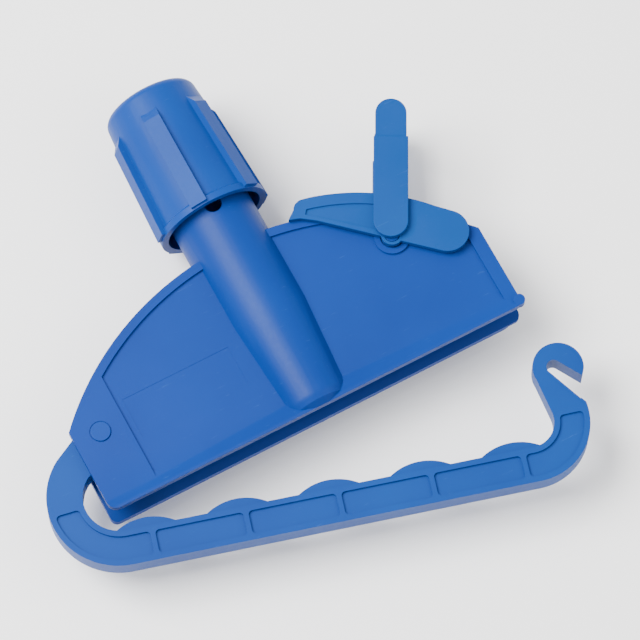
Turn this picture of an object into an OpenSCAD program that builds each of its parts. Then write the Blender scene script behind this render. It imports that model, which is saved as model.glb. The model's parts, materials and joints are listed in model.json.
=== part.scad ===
// Moulded mop clamp: a hood with a screw-collar neck for a pole, a swing arm that closes
// under the hood, and a lever with a two-cheek link that draws the arm's hook tight.
// The hood lies on its back: X runs along the hood, Y up the neck, Z out of the front face.
// The middle of the hood's thickness is Z = 0 and its open mouth lies in the plane Y = 0.

/* [Hood] */
// Width of the hood along its mouth
hood_w = 180; // [165:1:200]
// How far the hood's middle sits to the left of the neck's axis
hood_shift = 1.5; // [0:0.1:4]
// Height of the hood's crown over its mouth
hood_h = 76; // [72:0.5:84]
// Radius of the domed top edge
dome_r = 122; // [112:1:150]
// Distance between the outer faces at the rim
rim_t = 17.6; // [16:0.2:20]
// Distance between the inner faces
gap_t = 10.8; // [10.4:0.2:12]
// Distance between the outer faces of the flared mouth
lip_t = 20.6; // [19:0.2:22]
// Width of the flared band along the mouth
lip_h = 7.8; // [5:0.2:12]
// Wall thickness at the mouth
lip_wall = 3.2; // [2:0.1:4]
// Depth of the sunk panels
panel_depth = 1.2; // [0.4:0.1:1.4]
// Width of the raised rim round the panels
rim_w = 3.5; // [2:0.1:6]
// Width of the two ears that carry the arm's pin
ear_w = 21.5; // [20:0.5:26]
// Thickness of the web that closes the dome
web_t = 3.2; // [2:0.1:5]

/* [Neck] */
// Outside diameter of the neck
neck_d = 34; // [33:0.5:38]
// Diameter of the pole socket
socket_d = 28; // [22:0.5:28.5]
// Height of the socket's floor over the mouth
socket_floor = 44; // [42:1:60]
// Diameter of the neck's foot at the mouth
foot_d = 29; // [26:0.5:32]
// Length of the neck above the hood's crown
neck_len = 66; // [60:1:74]
// Diameter of the hole for the pole's screw
screw_d = 7; // [3:0.5:8]
// Number of slits that part the gripping jaws
jaw_slits = 4; // [2:1:6]

/* [Collar] */
// Length of the collar
collar_h = 57; // [50:1:66]
// Distance from the neck's outside to the collar's outside at the lower end
collar_wall = 4.8; // [4:0.1:7]
// Distance from the neck's outside to the collar's outside at the upper end
collar_top_wall = 2.5; // [2.3:0.1:4.5]
// Number of grip fins
fins = 6; // [4:1:8]
// Width of one fin
fin_w = 7; // [3:0.5:9]
// Height of a fin over the collar's lower end
fin_h = 2.6; // [1.5:0.1:5]

/* [Swing arm] */
// Thickness of the arm
arm_t = 9.6; // [8:0.1:9.8]
// Width of the arm's bar
bar_w = 14; // [12:0.5:16]
// Angle of the bar below the mouth at rest
arm_rest = 16; // [12:0.5:17]
// How much shorter than the hood the straight bar is
bar_short = 20; // [15:1:30]
// Middle radius of the bow beside the hood
bow_r = 21; // [20.5:0.5:22]
// Middle radius of the bend below the hook
elbow_r = 17.4; // [16:0.1:18]
// Width of the rails round the arm's pockets
rail_w = 2.3; // [1.5:0.1:3]
// Thickness of the arm's middle web
arm_web_t = 7.4; // [3:0.2:7.8]
// Thickness of the gripping bumps
bump_t = 6.6; // [3:0.2:7.8]
// Number of gripping bumps
bumps = 5; // [3:1:5]
// Height of a bump over the bar
bump_h = 4; // [2:0.2:5]
// Outer radius of the hook
hook_r = 10; // [8.5:0.1:10.5]
// Width of the hook's slot
slot_w = 5.6; // [4.8:0.1:6]

/* [Latch] */
// Thickness of one cheek of the lever
cheek_t = 2.4; // [2:0.1:3]
// Thickness of the bridge that joins the lever's cheeks
bridge_t = 4.6; // [3:0.1:5]
// Width of the rim along the lever's lower edge
lever_rim = 1.5; // [1:0.1:2.5]
// Distance from the lever's pin to the link's pins
throw = 6.6; // [6.4:0.1:7]
// Length of the link between its two axes
link_len = 43.8; // [42:0.1:46]
// Width of the link's lower part
link_w = 13.6; // [11:0.2:15]
// Thickness of one cheek of the link
link_t = 2.4; // [1.8:0.1:3]
// Direction of the link at rest
link_rest = 61.5; // [40:0.5:80]
// How far the link's lower end runs past its pin
link_heel = 1.6; // [0:0.1:2]
// Diameter of the link's cross bar
cross_d = 3.8; // [3:0.1:4]

/* [Pins] */
// Diameter of the arm's pin
arm_pin_d = 6; // [5:0.1:7]
// Diameter of the lever's pin
lever_pin_d = 4.4; // [3.6:0.1:5]
// Diameter of the link's two pins
link_pin_d = 4.8; // [4:0.1:5.2]
// Radial clearance of a running pin
run_c = 0.05; // [0.02:0.01:0.1]
// Side clearance between parts that slide past each other
side_c = 0.4; // [0.3:0.05:0.6]

/* [Hidden] */
$fn = 96;
eps = 0.01;

blue = [0.18, 0.42, 0.72];
blue_light = [0.24, 0.50, 0.78];
blue_dark = [0.15, 0.36, 0.66];

// Hood: places that other parts share
hood_left = -hood_w / 2 - hood_shift;
hood_right = hood_w / 2 - hood_shift;
dome_y = hood_h - dome_r;
pocket_left = hood_left + ear_w;
pocket_right = hood_right - 5.5;

// Neck
neck_top = hood_h + neck_len;
neck_r = neck_d / 2;
foot_r = foot_d / 2;
socket_r = socket_d / 2;
screw_y = neck_top - 50.7;
plain_top = neck_top - 39;
thread_r = neck_r - 0.4;
jaw_r = neck_r - 1.6;
cone_y = neck_top - 16;
slit_w = 2;
slit_len = 26;
hollow_top = socket_floor - 8;

// Collar and the ring inside it
collar_y = neck_top - 51.3;
collar_top = collar_y + collar_h;
collar_r = neck_r + collar_wall;
collar_top_r = neck_r + collar_top_wall;
ring_y = neck_top - 10.5;
ring_h = 6.8;
ring_r = neck_r + 0.6;
jaw_slope = (thread_r - jaw_r) / (neck_top - cone_y);

// Arm: its frame has the pin at the origin and the bar along X
arm_x = hood_left + 11;
arm_y = 31;
bar_len = hood_w - bar_short;
bow_c = [2, -25.6];
bar_y = bow_c[1] - bow_r;
elbow_c = [bow_c[0] + bar_len, bar_y + elbow_r];
hook_c = elbow_c + [16.8, 19.5];
slot_c = hook_c + [-1.7, 0.5];
slot_dir = -49;
root_w = 15.5;
bump_x = 9.5;
bump_pitch = (bar_len - 16) / (bumps - 1);
pocket_r = 1.6;
rib_w = 2;

// Latch: the lever's pin, the link's pins and the two axes' distance from the arm's pin
lever_x = hood_right - 31.8;
lever_y = hood_h - 27.1;
boss_r = lever_pin_d / 2 + 4.8;
throw_dir = 66;
link_x = lever_x + throw * cos(throw_dir);
link_y = lever_y + throw * sin(throw_dir);
cheek_in = rim_t / 2 + side_c;
cheek_out = cheek_in + cheek_t;
link_in = cheek_out + side_c;
link_out = link_in + link_t;
bridge_c = [-43.4, -52.9];
bridge_r = 84.7;
lever_low = [-23.2, 18.9];
lever_low_dir = -40.7;
recess = 0.8;
neck_gap = 5;

function arc(c, r, from, to, n = 16) =
    [for (i = [0 : n]) c + r * [cos(from + (to - from) * i / n), sin(from + (to - from) * i / n)]];

module hood_outline(inset = 0, left = hood_left, right = hood_right, bottom = 0) {
    intersection() {
        translate([-hood_shift, dome_y]) circle(dome_r - inset, $fn = 240);
        translate([left, bottom]) square([right - left, hood_h + 10 - bottom]);
    }
}

// One outer face of the hood, with its rounded lower corners
module hood_plate(r_left, r_right) {
    intersection() {
        hood_outline();
        union() {
            translate([hood_left + r_left, r_left]) circle(r_left);
            translate([hood_right - r_right, r_right]) circle(r_right);
            translate([hood_left + r_left, 0]) square([hood_w - r_left - r_right, hood_h]);
            translate([hood_left, r_left]) square([hood_w / 2, hood_h]);
            translate([hood_left + hood_w / 2, r_right]) square([hood_w / 2, hood_h]);
        }
    }
}

// Sunk panels on both faces, with the dome's rim left standing
module panels() {
    for (side = [-1, 1]) translate([0, 0, side > 0 ? rim_t / 2 - panel_depth : -rim_t / 2 - eps])
        linear_extrude(panel_depth + eps)
            difference() {
            hood_outline(rim_w, pocket_left, pocket_right, -1);
            translate([lever_x, lever_y]) difference() {
                circle(boss_r);
                circle(boss_r - 2.3);
            }
        }
}

// Flared lip of one face, a wedge along the mouth
module lip(side) {
    intersection() {
        translate([hood_left, 0, 0]) rotate([90, 0, 90]) linear_extrude(hood_w) scale([1, side])
            polygon([[0, 0], [0, lip_t / 2], [1.2, lip_t / 2],
                     [lip_h, rim_t / 2 - panel_depth], [lip_h, 0]]);
        translate([0, 0, -lip_t / 2]) linear_extrude(lip_t)
            hood_plate(side > 0 ? 4 : 3, side > 0 ? 3 : 8);
    }
}

// Neck, which tapers into both faces where it runs down to the mouth
module neck_body() {
    rotate([-90, 0, 0]) rotate_extrude() polygon([[0, 0], [foot_r - 4, 0], [foot_r - 1.2, 2.2],
        [foot_r, 5.5], [neck_r, socket_floor], [neck_r, plain_top], [thread_r, plain_top],
        [thread_r, cone_y], [jaw_r, neck_top], [0, neck_top]]);
}

// Space between the walls, open at the mouth and at both ends
module hollow() {
    translate([0, 0, -gap_t / 2]) linear_extrude(gap_t) difference() {
        union() {
            hood_outline(web_t, pocket_left, hood_right - web_t, -1);
            translate([hood_left - 1, -1]) square([ear_w + 1.5, hood_h]);
            translate([hood_right - 12, -1]) square([13, 35]);
        }
        translate([-neck_r, hollow_top]) square([neck_d, hood_h]);
        translate([lever_x, lever_y]) circle(boss_r - 1.8);
    }
    translate([hood_left - 1, 0, 0]) rotate([90, 0, 90]) linear_extrude(hood_w + 2)
        polygon([[-1, lip_t / 2 - lip_wall], [0, lip_t / 2 - lip_wall], [6, gap_t / 2 - eps],
                 [6, -gap_t / 2 + eps], [0, lip_wall - lip_t / 2], [-1, lip_wall - lip_t / 2]]);
}

module socket_cuts() {
    rotate([-90, 0, 0]) translate([0, 0, socket_floor]) cylinder(r = socket_r, h = neck_top);
    translate([0, screw_y, 0]) cylinder(d = screw_d, h = neck_d);
    for (i = [0 : jaw_slits - 1]) rotate([0, 45 + 360 / jaw_slits * i, 0])
        translate([0, neck_top - slit_len, -slit_w / 2]) cube([neck_d, slit_len + 1, slit_w]);
}

module hood() {
    color(blue) difference() {
        union() {
            difference() {
                translate([0, 0, -rim_t / 2]) linear_extrude(rim_t) hood_plate(4, 3);
                panels();
            }
            lip(1);
            lip(-1);
            translate([hood_right - 0.8, 2.3, lip_t / 2 - lip_wall]) cylinder(r = 2.3, h = lip_wall);
            neck_body();
        }
        hollow();
        socket_cuts();
        translate([pocket_left + 3, 22, rim_t / 2 - panel_depth - 0.15]) cube([46, 17, 1]);
        translate([arm_x, arm_y, -rim_t]) cylinder(d = arm_pin_d, h = 2 * rim_t);
        for (side = [-1, 1]) translate([arm_x, arm_y, side * (rim_t / 2 + 0.2) - 0.5])
            cylinder(r = arm_pin_d / 2 + 1.3, h = 1);
        translate([lever_x, lever_y, -rim_t]) cylinder(d = lever_pin_d, h = 2 * rim_t);
    }
}

module collar() {
    top_wall = 2.6;
    color(blue_light) difference() {
        rotate([-90, 0, 0]) union() {
            rotate_extrude() polygon(concat(
                [[0, collar_y], [collar_r + 1.2, collar_y], [collar_r + 1.2, collar_y + 2.6],
                 [collar_r, collar_y + 3.6], [collar_top_r + 0.8, collar_top - 14]],
                arc([collar_top_r - 4, collar_top - 4], 4, 0, 90, 10), [[0, collar_top]]));
            for (i = [0 : fins - 1]) rotate(i * 360 / fins - 90 - 14)
                translate([0, fin_w / 2, 0]) rotate([90, 0, 0]) linear_extrude(fin_w)
                    polygon([[collar_top_r - 5, collar_y], [collar_r + fin_h, collar_y + 0.8],
                             [collar_r + fin_h - 2, collar_top - 15], [collar_top_r - 1, collar_top - 9],
                             [collar_top_r - 5, collar_top - 9]]);
        }
        rotate([-90, 0, 0]) rotate_extrude() polygon([
            [0, collar_y - 1], [collar_r - 1.6, collar_y - 1], [collar_r - 2.2, plain_top + 3],
            [thread_r + 0.3, plain_top + 3], [thread_r + 0.3, cone_y],
            [ring_r + 0.3, cone_y + 1], [ring_r + 0.3, ring_y + ring_h + 0.2],
            [jaw_r + 1, ring_y + ring_h + 0.2], [jaw_r + 1, collar_top - top_wall],
            [socket_r + 0.6, collar_top - top_wall], [socket_r + 0.6, collar_top + 1],
            [0, collar_top + 1]]);
    }
}

// Tapered ring that the collar pushes down over the jaws
module grip_ring() {
    r_low = thread_r - (ring_y - cone_y) * jaw_slope + 0.35;
    color("silver") rotate([-90, 0, 0]) rotate_extrude() polygon([
        [r_low, ring_y], [ring_r, ring_y], [ring_r, ring_y + ring_h],
        [r_low - ring_h * jaw_slope, ring_y + ring_h]]);
}

// Quarter turn round a corner
function corner(c, r, from) = arc(c, r, from, from + 90, 5);

// Point on a bend, and where the corner circle of a pocket's end lies
function on_bend(c, r, dir) = c + r * [cos(dir), sin(dir)];

// Side view of the arm: root, bow, bar, elbow, shank and hook in one closed outline
module arm_outline() {
    root_dir = atan2(bow_c[1] + bow_r * sin(142), bow_c[0] + bow_r * cos(142));
    outer = bow_r + bar_w / 2;
    inner = bow_r - bar_w / 2;
    polygon(concat(arc([0, 0], root_w / 2, root_dir - 270, root_dir - 90, 24),
        arc(bow_c, outer, 138, 270, 32), arc(elbow_c, elbow_r + bar_w / 2, -90, 8, 24),
        [hook_c + [1.9, -8.9], hook_c + [8, -6]], arc(hook_c, hook_r, -14, 200, 36),
        arc(elbow_c, elbow_r - bar_w / 2, 10, -90, 20), arc(bow_c, inner, 270, 136, 28)));
}

// Slot of the hook: a round end that opens towards the mouth
module hook_slot() {
    translate(slot_c) rotate(slot_dir) {
        circle(d = slot_w);
        polygon([[0, slot_w / 2], [0, -slot_w / 2], [16, -slot_w / 2 - 1.4], [16, slot_w / 2 + 1.4]]);
    }
}

// Sunk areas on one face of the arm, parted by ribs
module arm_pockets() {
    half = bar_w / 2 - rail_w;
    r = pocket_r;
    low = bar_y - half + r;
    high = bar_y + half - r;
    first = bump_x + 1.2;
    step = bump_pitch + 0.4;
    last = first + (bumps - 1) * step + rib_w;
    polygon(concat(corner([first - r, low], r, 270), corner([first - r, high], r, 0),
        arc(bow_c, bow_r - half, 270, 193, 20), corner(on_bend(bow_c, bow_r - half + r, 193), r, 7),
        corner(on_bend(bow_c, bow_r + half - r, 191), r, 97), arc(bow_c, bow_r + half, 191, 270, 24)));
    for (i = [0 : bumps - 2]) {
        from = first + rib_w + i * step + r;
        to = first + (i + 1) * step - r;
        polygon(concat(corner([to, high], r, 0), corner([from, high], r, 90),
            corner([from, low], r, 180), corner([to, low], r, 270)));
    }
    polygon(concat(corner([last + r, high], r, 90), corner([last + r, low], r, 180),
        arc(elbow_c, elbow_r + half, -90, -4, 24), corner(on_bend(elbow_c, elbow_r + half - r, -4), r, 0),
        corner(on_bend(elbow_c, elbow_r - half + r, -6), r, 90), arc(elbow_c, elbow_r - half, -8, -90, 20)));
}

// Gripping bumps along the bar's upper edge, thinner than the arm
module bump_outline() {
    chord = 25;
    bump_r = chord * chord / 8 / bump_h + bump_h / 2;
    half = asin(chord / 2 / bump_r);
    top = bar_y + bar_w / 2;
    for (i = [0 : bumps - 1]) {
        x = bump_x + i * bump_pitch;
        polygon(concat(arc([x, top + bump_h - bump_r], bump_r, 90 - half, 90 + half, 16),
            [[x - chord / 2, top - 1], [x + chord / 2, top - 1]]));
    }
}

module swing_arm() {
    depth = (arm_t - arm_web_t) / 2;
    color(blue_light) translate([arm_x, arm_y, 0]) rotate(-arm_rest) difference() {
        union() {
            translate([0, 0, -arm_t / 2]) linear_extrude(arm_t) arm_outline();
            translate([0, 0, -bump_t / 2]) linear_extrude(bump_t) bump_outline();
        }
        for (z = [arm_t / 2 - depth, -arm_t / 2 - eps]) translate([0, 0, z])
            linear_extrude(depth + eps) arm_pockets();
        translate([0, 0, -arm_t]) linear_extrude(2 * arm_t) hook_slot();
        translate([0, 0, -arm_t]) cylinder(r = arm_pin_d / 2 + run_c, h = 2 * arm_t);
    }
}

module arm_pin() {
    color(blue_dark) translate([arm_x, arm_y, 0]) {
        translate([0, 0, -rim_t / 2 - 0.2]) cylinder(d = arm_pin_d, h = rim_t + 0.4);
        for (side = [-1, 1]) translate([0, 0, side * (rim_t / 2 + 0.1) - 0.4])
            cylinder(r = arm_pin_d / 2 + 0.9, h = 0.8);
    }
}

// Side view of the lever's cheek, seen from its pin: straight lower edge, domed top, round toe
module cheek_outline() {
    polygon(concat([lever_low, [-28.6, 22.8], [-32.9, 24.3]], arc([-25.2, 25.1], 4.5, 155, 82, 8),
        arc(bridge_c, bridge_r, 75, 41, 24), arc([19.8, -8.7], 8.6, 42, -131, 24)));
    circle(lever_pin_d / 2 + 2.1);
}

// Band along the upper edge that bridges the two cheeks
module bridge_outline() {
    intersection() {
        difference() {
            cheek_outline();
            translate(bridge_c) circle(bridge_r - bridge_t, $fn = 240);
        }
        translate([-37, 8]) square([36.8, 30]);
    }
}

// Sunk area of one cheek, between the band and the rim along the lower edge
module cheek_recess() {
    intersection() {
        translate(bridge_c) circle(bridge_r - bridge_t, $fn = 240);
        translate(lever_low) rotate(lever_low_dir)
            polygon([[-5, lever_rim], [24.5, lever_rim], [21, 18], [-5, 18]]);
    }
}

module latch_lever() {
    color(blue_light) difference() {
        union() {
            for (z = [cheek_in, -cheek_out]) translate([lever_x, lever_y, z]) linear_extrude(cheek_t)
                cheek_outline();
            translate([0, 0, -cheek_out]) linear_extrude(2 * cheek_out) difference() {
                translate([lever_x, lever_y]) bridge_outline();
                translate([-hood_shift, dome_y]) circle(dome_r + side_c, $fn = 240);
            }
        }
        for (z = [cheek_out - recess, -cheek_out - eps]) translate([lever_x, lever_y, z])
            linear_extrude(recess + eps) cheek_recess();
        rotate([-90, 0, 0]) cylinder(r = neck_r + neck_gap, h = neck_top);
        translate([lever_x, lever_y, -rim_t]) cylinder(r = lever_pin_d / 2 + run_c, h = 2 * rim_t);
        for (side = [-1, 1]) translate([lever_x, lever_y, side * cheek_out - 1.2])
            cylinder(r = lever_pin_d / 2 + 0.9, h = 2.4);
        translate([link_x, link_y, -rim_t]) cylinder(r = link_pin_d / 2 + run_c, h = 2 * rim_t);
        for (side = [-1, 1]) translate([link_x, link_y, side * cheek_in - 0.8])
            cylinder(r = link_pin_d / 2 + 0.8, h = 1.6);
    }
}

module lever_pin() {
    color(blue_dark) translate([lever_x, lever_y, 0]) {
        translate([0, 0, -cheek_out + 0.5]) cylinder(d = lever_pin_d, h = 2 * cheek_out - 1);
        for (side = [-1, 1]) translate([0, 0, side * (cheek_out - 0.7) - 0.4])
            cylinder(r = lever_pin_d / 2 + 0.6, h = 0.8);
    }
}

// One cheek of the link, along X from its pin
module link_outline() {
    step = link_len - 10;
    translate([-link_heel, 0]) circle(d = link_w);
    translate([-link_heel, -link_w / 2]) square([step + link_heel, link_w]);
    translate([step - eps, 0.6 - link_w / 2]) square([10, link_w - 1.2]);
    translate([link_len, 0]) circle(d = link_w - 1.2);
}

module latch_link() {
    blind = 1.4;
    color(blue_light) translate([link_x, link_y, 0]) rotate(link_rest) difference() {
        union() {
            for (z = [link_in, -link_out]) translate([0, 0, z]) linear_extrude(link_t) link_outline();
            translate([link_len, 0, -link_in - eps]) cylinder(d = cross_d, h = 2 * link_in + 2 * eps);
        }
        for (z = [link_out - 0.5, -link_out - eps]) translate([link_len - 10, -link_w, z])
            cube([20, 2 * link_w, 0.5 + eps]);
        translate([0, 0, -link_in - blind]) cylinder(r = link_pin_d / 2 + run_c, h = 2 * (link_in + blind));
    }
}

module link_pin(side) {
    color(blue_dark) translate([link_x, link_y, 0]) {
        low = cheek_in + 0.1;
        top = link_in + 1.2;
        translate([0, 0, side > 0 ? low : -top]) cylinder(d = link_pin_d, h = top - low);
        translate([0, 0, side > 0 ? low : -low - 0.6]) cylinder(r = link_pin_d / 2 + 0.6, h = 0.6);
    }
}

module link_pin_front() { link_pin(1); }
module link_pin_rear() { link_pin(-1); }

hood();
collar();
grip_ring();
swing_arm();
arm_pin();
latch_lever();
lever_pin();
latch_link();
link_pin_front();
link_pin_rear();
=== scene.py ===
# %% [markdown]
# # A moulded mop clamp
# The real clamp is injection-moulded polypropylene: a hollow domed hood with a neck, a screw collar, an arm
# that swings shut under the hood, and a lever with a two-cheek link. Every moulded edge has a small radius
# that catches the light, and every face has a faint satin grain. The frame gives true shapes with sharp
# edges, so each piece here is the frame's own shape with its edges rounded and its faces textured.

# %% Load the frame
import bpy
import bmesh
import json
import math
from mathutils import Matrix, Vector


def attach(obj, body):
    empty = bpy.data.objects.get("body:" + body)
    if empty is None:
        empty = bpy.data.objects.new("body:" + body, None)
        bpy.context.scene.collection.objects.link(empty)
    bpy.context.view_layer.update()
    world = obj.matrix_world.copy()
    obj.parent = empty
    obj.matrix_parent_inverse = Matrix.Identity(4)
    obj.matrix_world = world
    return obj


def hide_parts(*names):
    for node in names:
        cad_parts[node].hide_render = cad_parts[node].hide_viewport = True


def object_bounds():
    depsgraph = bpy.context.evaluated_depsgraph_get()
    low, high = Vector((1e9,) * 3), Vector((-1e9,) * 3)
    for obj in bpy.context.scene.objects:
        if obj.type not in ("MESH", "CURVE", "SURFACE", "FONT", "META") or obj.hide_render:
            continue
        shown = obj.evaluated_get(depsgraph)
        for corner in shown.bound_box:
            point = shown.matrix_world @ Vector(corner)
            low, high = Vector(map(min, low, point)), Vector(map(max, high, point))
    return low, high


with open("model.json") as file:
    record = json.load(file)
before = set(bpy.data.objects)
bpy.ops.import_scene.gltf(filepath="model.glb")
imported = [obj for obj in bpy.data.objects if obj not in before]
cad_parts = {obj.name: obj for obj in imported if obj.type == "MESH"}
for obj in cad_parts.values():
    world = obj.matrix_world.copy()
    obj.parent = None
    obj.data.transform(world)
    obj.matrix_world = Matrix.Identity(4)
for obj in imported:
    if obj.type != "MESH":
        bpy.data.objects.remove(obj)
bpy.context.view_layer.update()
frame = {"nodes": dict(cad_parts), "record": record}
MM = 0.001

# %% [markdown]
# ## Colours and finishes
# All the pieces are blue, but they were moulded in separate batches, so the hood is a little deeper than the
# arm and the latch. A shader node group gives the surface its life: a slow cloudiness in the pigment, fine
# moulding grain and light scuffs. It is built once and each material sets its own strengths.

# %% A helper for node trees
def add_node(tree, kind, **inputs):
    """A node with its unlinked inputs set by name."""
    node = tree.nodes.new(kind)
    for name, value in inputs.items():
        node.inputs[name.replace("_", " ")].default_value = value
    return node


# %% The moulded-plastic group
CLOUD_SIZE = 18.0
GRAIN_SIZE = 900.0
SCUFF_SIZE = 90.0
SCUFF_STRETCH = (1.0, 14.0, 3.0)
SCUFF_TURN = (0.3, 0.2, 0.9)
WORN_BLUE = (0.06, 0.22, 0.55, 1)
SATIN = (0.34, 0.52)
SCUFF_ROUGHENS = 0.5
CLOUD_RELIEF = 0.6


def moulded_group():
    """Colour, roughness and height of moulded plastic, from object coordinates."""
    tree = bpy.data.node_groups.new("moulded_surface", "ShaderNodeTree")
    sockets = tree.interface
    for name, kind, value in (("Base", "NodeSocketColor", (0.03, 0.13, 0.45, 1)),
                              ("Tint", "NodeSocketColor", (0.06, 0.22, 0.60, 1)),
                              ("Cloud Size", "NodeSocketFloat", CLOUD_SIZE),
                              ("Grain Size", "NodeSocketFloat", GRAIN_SIZE),
                              ("Scuffs", "NodeSocketFloat", 0.3)):
        sockets.new_socket(name, in_out="INPUT", socket_type=kind).default_value = value
    sockets.new_socket("Color", in_out="OUTPUT", socket_type="NodeSocketColor")
    sockets.new_socket("Roughness", in_out="OUTPUT", socket_type="NodeSocketFloat")
    sockets.new_socket("Height", in_out="OUTPUT", socket_type="NodeSocketFloat")
    link = tree.links.new
    given = tree.nodes.new("NodeGroupInput")
    out = tree.nodes.new("NodeGroupOutput")
    where = tree.nodes.new("ShaderNodeTexCoord")

    cloud = add_node(tree, "ShaderNodeTexNoise", Detail=3.0, Roughness=0.5)
    link(where.outputs["Object"], cloud.inputs["Vector"])
    link(given.outputs["Cloud Size"], cloud.inputs["Scale"])
    grain = add_node(tree, "ShaderNodeTexNoise", Detail=4.0, Roughness=0.6)
    link(where.outputs["Object"], grain.inputs["Vector"])
    link(given.outputs["Grain Size"], grain.inputs["Scale"])

    stretch = add_node(tree, "ShaderNodeMapping", Rotation=SCUFF_TURN, Scale=SCUFF_STRETCH)
    link(where.outputs["Object"], stretch.inputs["Vector"])
    scuff = add_node(tree, "ShaderNodeTexNoise", Scale=SCUFF_SIZE, Detail=4.0, Roughness=0.7)
    link(stretch.outputs["Vector"], scuff.inputs["Vector"])
    sharp = add_node(tree, "ShaderNodeMapRange", From_Min=0.66, From_Max=0.86)
    link(scuff.outputs["Fac"], sharp.inputs["Value"])
    scuffed = tree.nodes.new("ShaderNodeMath")
    scuffed.operation = "MULTIPLY"
    link(sharp.outputs["Result"], scuffed.inputs[0])
    link(given.outputs["Scuffs"], scuffed.inputs[1])

    mix = tree.nodes.new("ShaderNodeMix")
    mix.data_type = "RGBA"
    soft = add_node(tree, "ShaderNodeMapRange", From_Min=0.35, From_Max=0.65, To_Max=0.55)
    link(cloud.outputs["Fac"], soft.inputs["Value"])
    link(soft.outputs["Result"], mix.inputs["Factor"])
    link(given.outputs["Base"], mix.inputs["A"])
    link(given.outputs["Tint"], mix.inputs["B"])
    worn = tree.nodes.new("ShaderNodeMix")
    worn.data_type = "RGBA"
    worn.inputs["B"].default_value = WORN_BLUE
    link(scuffed.outputs["Value"], worn.inputs["Factor"])
    link(mix.outputs["Result"], worn.inputs["A"])
    link(worn.outputs["Result"], out.inputs["Color"])

    rough = add_node(tree, "ShaderNodeMapRange", To_Min=SATIN[0], To_Max=SATIN[1])
    link(grain.outputs["Fac"], rough.inputs["Value"])
    rougher = tree.nodes.new("ShaderNodeMath")
    rougher.operation = "MULTIPLY_ADD"
    rougher.inputs[1].default_value = SCUFF_ROUGHENS
    link(scuffed.outputs["Value"], rougher.inputs[0])
    link(rough.outputs["Result"], rougher.inputs[2])
    link(rougher.outputs["Value"], out.inputs["Roughness"])

    height = tree.nodes.new("ShaderNodeMath")
    height.operation = "MULTIPLY_ADD"
    height.inputs[1].default_value = CLOUD_RELIEF
    link(cloud.outputs["Fac"], height.inputs[0])
    link(grain.outputs["Fac"], height.inputs[2])
    link(height.outputs["Value"], out.inputs["Height"])
    return tree


SURFACE = moulded_group()
print("group outputs:", [s.name for s in SURFACE.interface.items_tree if s.in_out == "OUTPUT"])

# %% The materials
PLASTIC_IOR = 1.49
SPECULAR_LEVEL = 0.14
GLOW_UNDER_SKIN = 0.04
GLOW_DEPTH = 0.002
GRAIN_STRENGTH = 0.08
GRAIN_DEPTH = 0.0004


def moulded(name, base, tint, scuffs):
    """One moulded plastic, with the shared group feeding a Principled shader."""
    material = bpy.data.materials.new(name)
    material.use_nodes = True
    tree = material.node_tree
    shader = tree.nodes["Principled BSDF"]
    shader.inputs["IOR"].default_value = PLASTIC_IOR
    shader.inputs["Specular IOR Level"].default_value = SPECULAR_LEVEL
    shader.inputs["Subsurface Weight"].default_value = GLOW_UNDER_SKIN
    shader.inputs["Subsurface Scale"].default_value = GLOW_DEPTH
    surface = tree.nodes.new("ShaderNodeGroup")
    surface.node_tree = SURFACE
    surface.inputs["Base"].default_value = (*base, 1)
    surface.inputs["Tint"].default_value = (*tint, 1)
    surface.inputs["Scuffs"].default_value = scuffs
    relief = add_node(tree, "ShaderNodeBump", Strength=GRAIN_STRENGTH, Distance=GRAIN_DEPTH)
    tree.links.new(surface.outputs["Color"], shader.inputs["Base Color"])
    tree.links.new(surface.outputs["Roughness"], shader.inputs["Roughness"])
    tree.links.new(surface.outputs["Height"], relief.inputs["Height"])
    tree.links.new(relief.outputs["Normal"], shader.inputs["Normal"])
    return material


FINISH = {
    "hood_plastic": moulded("hood_blue", (0.0008, 0.027, 0.185), (0.0013, 0.036, 0.225), 0.45),
    "collar_plastic": moulded("collar_blue", (0.0012, 0.036, 0.212), (0.002, 0.048, 0.250), 0.45),
    "arm_plastic": moulded("arm_blue", (0.0008, 0.036, 0.198), (0.0014, 0.050, 0.240), 0.55),
    "latch_plastic": moulded("latch_blue", (0.0008, 0.043, 0.200), (0.0014, 0.059, 0.238), 0.50),
    "pin_plastic": moulded("pin_blue", (0.0010, 0.030, 0.195), (0.0015, 0.038, 0.225), 0.20),
    "ring_plastic": moulded("ring_white", (0.66, 0.67, 0.68), (0.74, 0.74, 0.74), 0.0),
}
print("materials:", list(FINISH))

# %% [markdown]
# ## Rounding the moulded edges
# A mould's edges are never sharp. Modelling each piece again with fillets is possible, but it would drift
# from the frame. Instead a copy of each frame piece is welded, its flat faces are joined, and a narrow Bevel
# modifier rounds every edge sharper than a limit. Weighted normals keep the flats flat.

# %% Copy a frame piece
WELD = 0.002 * MM
SLIVER = 0.004 * MM
FLAT_WITHIN = math.radians(1.0)


def welded_copy(node, name):
    """A plain copy of a frame piece, with its triangles merged into whole faces."""
    mesh = frame["nodes"][node].data.copy()
    piece = bpy.data.objects.new(name, mesh)
    bpy.context.scene.collection.objects.link(piece)
    work = bmesh.new()
    work.from_mesh(mesh)
    bmesh.ops.remove_doubles(work, verts=work.verts, dist=WELD)
    bmesh.ops.dissolve_degenerate(work, edges=work.edges, dist=SLIVER)
    bmesh.ops.dissolve_limit(work, angle_limit=FLAT_WITHIN, verts=work.verts, edges=work.edges,
                             delimit={"NORMAL"})
    bmesh.ops.recalc_face_normals(work, faces=work.faces)
    work.to_mesh(mesh)
    work.free()
    return piece


# %% Round a piece's edges
ARC_STEPS = 3
SHARP_FROM = math.radians(28)


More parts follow.
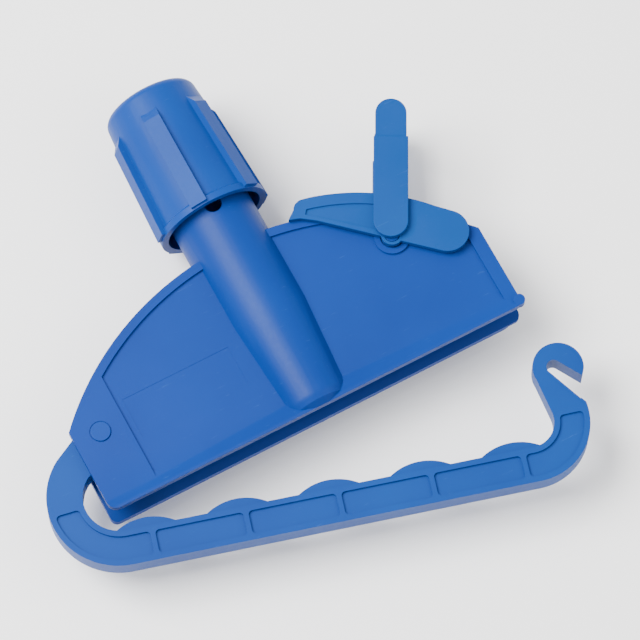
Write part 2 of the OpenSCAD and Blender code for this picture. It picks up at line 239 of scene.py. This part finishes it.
def rounded(node, name, radius):
    """A frame piece with its sharp edges rounded to a radius in metres."""
    piece = welded_copy(node, name)
    for polygon in piece.data.polygons:
        polygon.use_smooth = True
    bevel = piece.modifiers.new("edge_radius", "BEVEL")
    bevel.width = radius
    bevel.segments = ARC_STEPS
    bevel.limit_method = "ANGLE"
    bevel.angle_limit = SHARP_FROM
    bevel.use_clamp_overlap = True
    bevel.miter_outer = "MITER_ARC"
    bevel.face_strength_mode = "FSTR_AFFECTED"
    flats = piece.modifiers.new("flat_faces", "WEIGHTED_NORMAL")
    flats.use_face_influence = True
    flats.keep_sharp = False
    bpy.context.view_layer.update()
    solid = bpy.data.meshes.new_from_object(piece.evaluated_get(bpy.context.evaluated_depsgraph_get()))
    piece.modifiers.clear()
    piece.data = solid
    print(name, "faces:", len(solid.polygons))
    return piece


# %% Dress each piece and put it on its body
def dress(piece, node, slot):
    """Give a piece its finish, put it on its body, and hide the frame piece it stands for."""
    piece.data.materials.clear()
    piece.data.materials.append(FINISH[slot])
    body = next(b for b, nodes in frame["record"]["behaviour"]["bodies"].items() if node in nodes)
    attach(piece, body)
    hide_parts(node)


ROUNDING = {
    "hood": ("hood_plastic", 0.55), "collar": ("collar_plastic", 0.5), "swing_arm": ("arm_plastic", 0.6),
    "latch_lever": ("latch_plastic", 0.4), "latch_link": ("latch_plastic", 0.45),
    "arm_pin": ("pin_plastic", 0.2), "lever_pin": ("pin_plastic", 0.2),
    "link_pin_front": ("pin_plastic", 0.15), "link_pin_rear": ("pin_plastic", 0.15),
    "grip_ring": ("ring_plastic", 0.2),
}
for node, (slot, radius) in ROUNDING.items():
    dress(rounded(node, "moulded_" + node, radius * MM), node, slot)

# %% [markdown]
# ## The stage
# The clamp lies on its back on a pale floor, under a wide soft light from the upper left and a weaker fill.

# %% Floor
FLOOR_HALF = 6.0
FLOOR_GAP = 0.5 * MM
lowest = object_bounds()[0][2]
floor_mesh = bpy.data.meshes.new("floor")
work = bmesh.new()
bmesh.ops.create_grid(work, x_segments=2, y_segments=2, size=FLOOR_HALF,
                      matrix=Matrix.Translation((0, 0, lowest - FLOOR_GAP)))
work.to_mesh(floor_mesh)
work.free()
floor = bpy.data.objects.new("floor", floor_mesh)
bpy.context.scene.collection.objects.link(floor)
floor_finish = bpy.data.materials.new("pale_floor")
floor_finish.use_nodes = True
floor_shader = floor_finish.node_tree.nodes["Principled BSDF"]
floor_shader.inputs["Base Color"].default_value = (1.0, 1.0, 1.0, 1)
floor_shader.inputs["Roughness"].default_value = 0.9
floor_mesh.materials.append(floor_finish)
print("floor at", round(lowest - FLOOR_GAP, 4), "m")

# %% Lights
MIDDLE = Vector((0, 0.04, 0))


def soft_light(name, place, size, power):
    """A square area light in watts that faces the clamp's middle."""
    data = bpy.data.lights.new(name, "AREA")
    data.shape = "SQUARE"
    data.size = size
    data.energy = power
    lamp = bpy.data.objects.new(name, data)
    lamp.location = place
    lamp.rotation_euler = (MIDDLE - Vector(place)).to_track_quat("-Z", "Y").to_euler()
    bpy.context.scene.collection.objects.link(lamp)
    print(name, power, "W")


soft_light("key_light", (-0.7, 0.5, 1.3), 1.0, 60)
soft_light("fill_light", (0.9, -0.7, 1.1), 1.2, 8)
world = bpy.data.worlds.new("studio")
world.use_nodes = True
background = world.node_tree.nodes["Background"]
background.inputs["Color"].default_value = (1, 1, 1, 1)
background.inputs["Strength"].default_value = 1.12
bpy.context.scene.world = world

# %% [markdown]
# ## The camera
# It looks down on the front face from the mouth's side, turned so that the neck leans left. A long lens far
# away keeps the two ends of the hood at nearly the same scale.

# %% Camera
def look_along(eye, towards, up):
    """Rotation of a camera at eye that looks along towards, with up as its upper side."""
    back = -Vector(towards).normalized()
    right = Vector(up).cross(back).normalized()
    top = back.cross(right)
    return Matrix((right, top, back)).transposed().to_4x4()


camera_data = bpy.data.cameras.new("camera")
camera = bpy.data.objects.new("camera", camera_data)
bpy.context.scene.collection.objects.link(camera)
bpy.context.scene.camera = camera
eye = Vector((-267.2, -481.0, 1620.8)) * MM
aim = Vector((17.1, 34.4, 0.0)) * MM
camera.matrix_world = look_along(eye, aim - eye, (0.4418, 0.8296, 0.3413))
camera.location = eye
camera_data.sensor_width = 36
camera_data.lens = 248.4
camera_data.clip_end = 20
bpy.context.view_layer.update()
print("camera distance:", round((eye - aim).length, 3), "m")
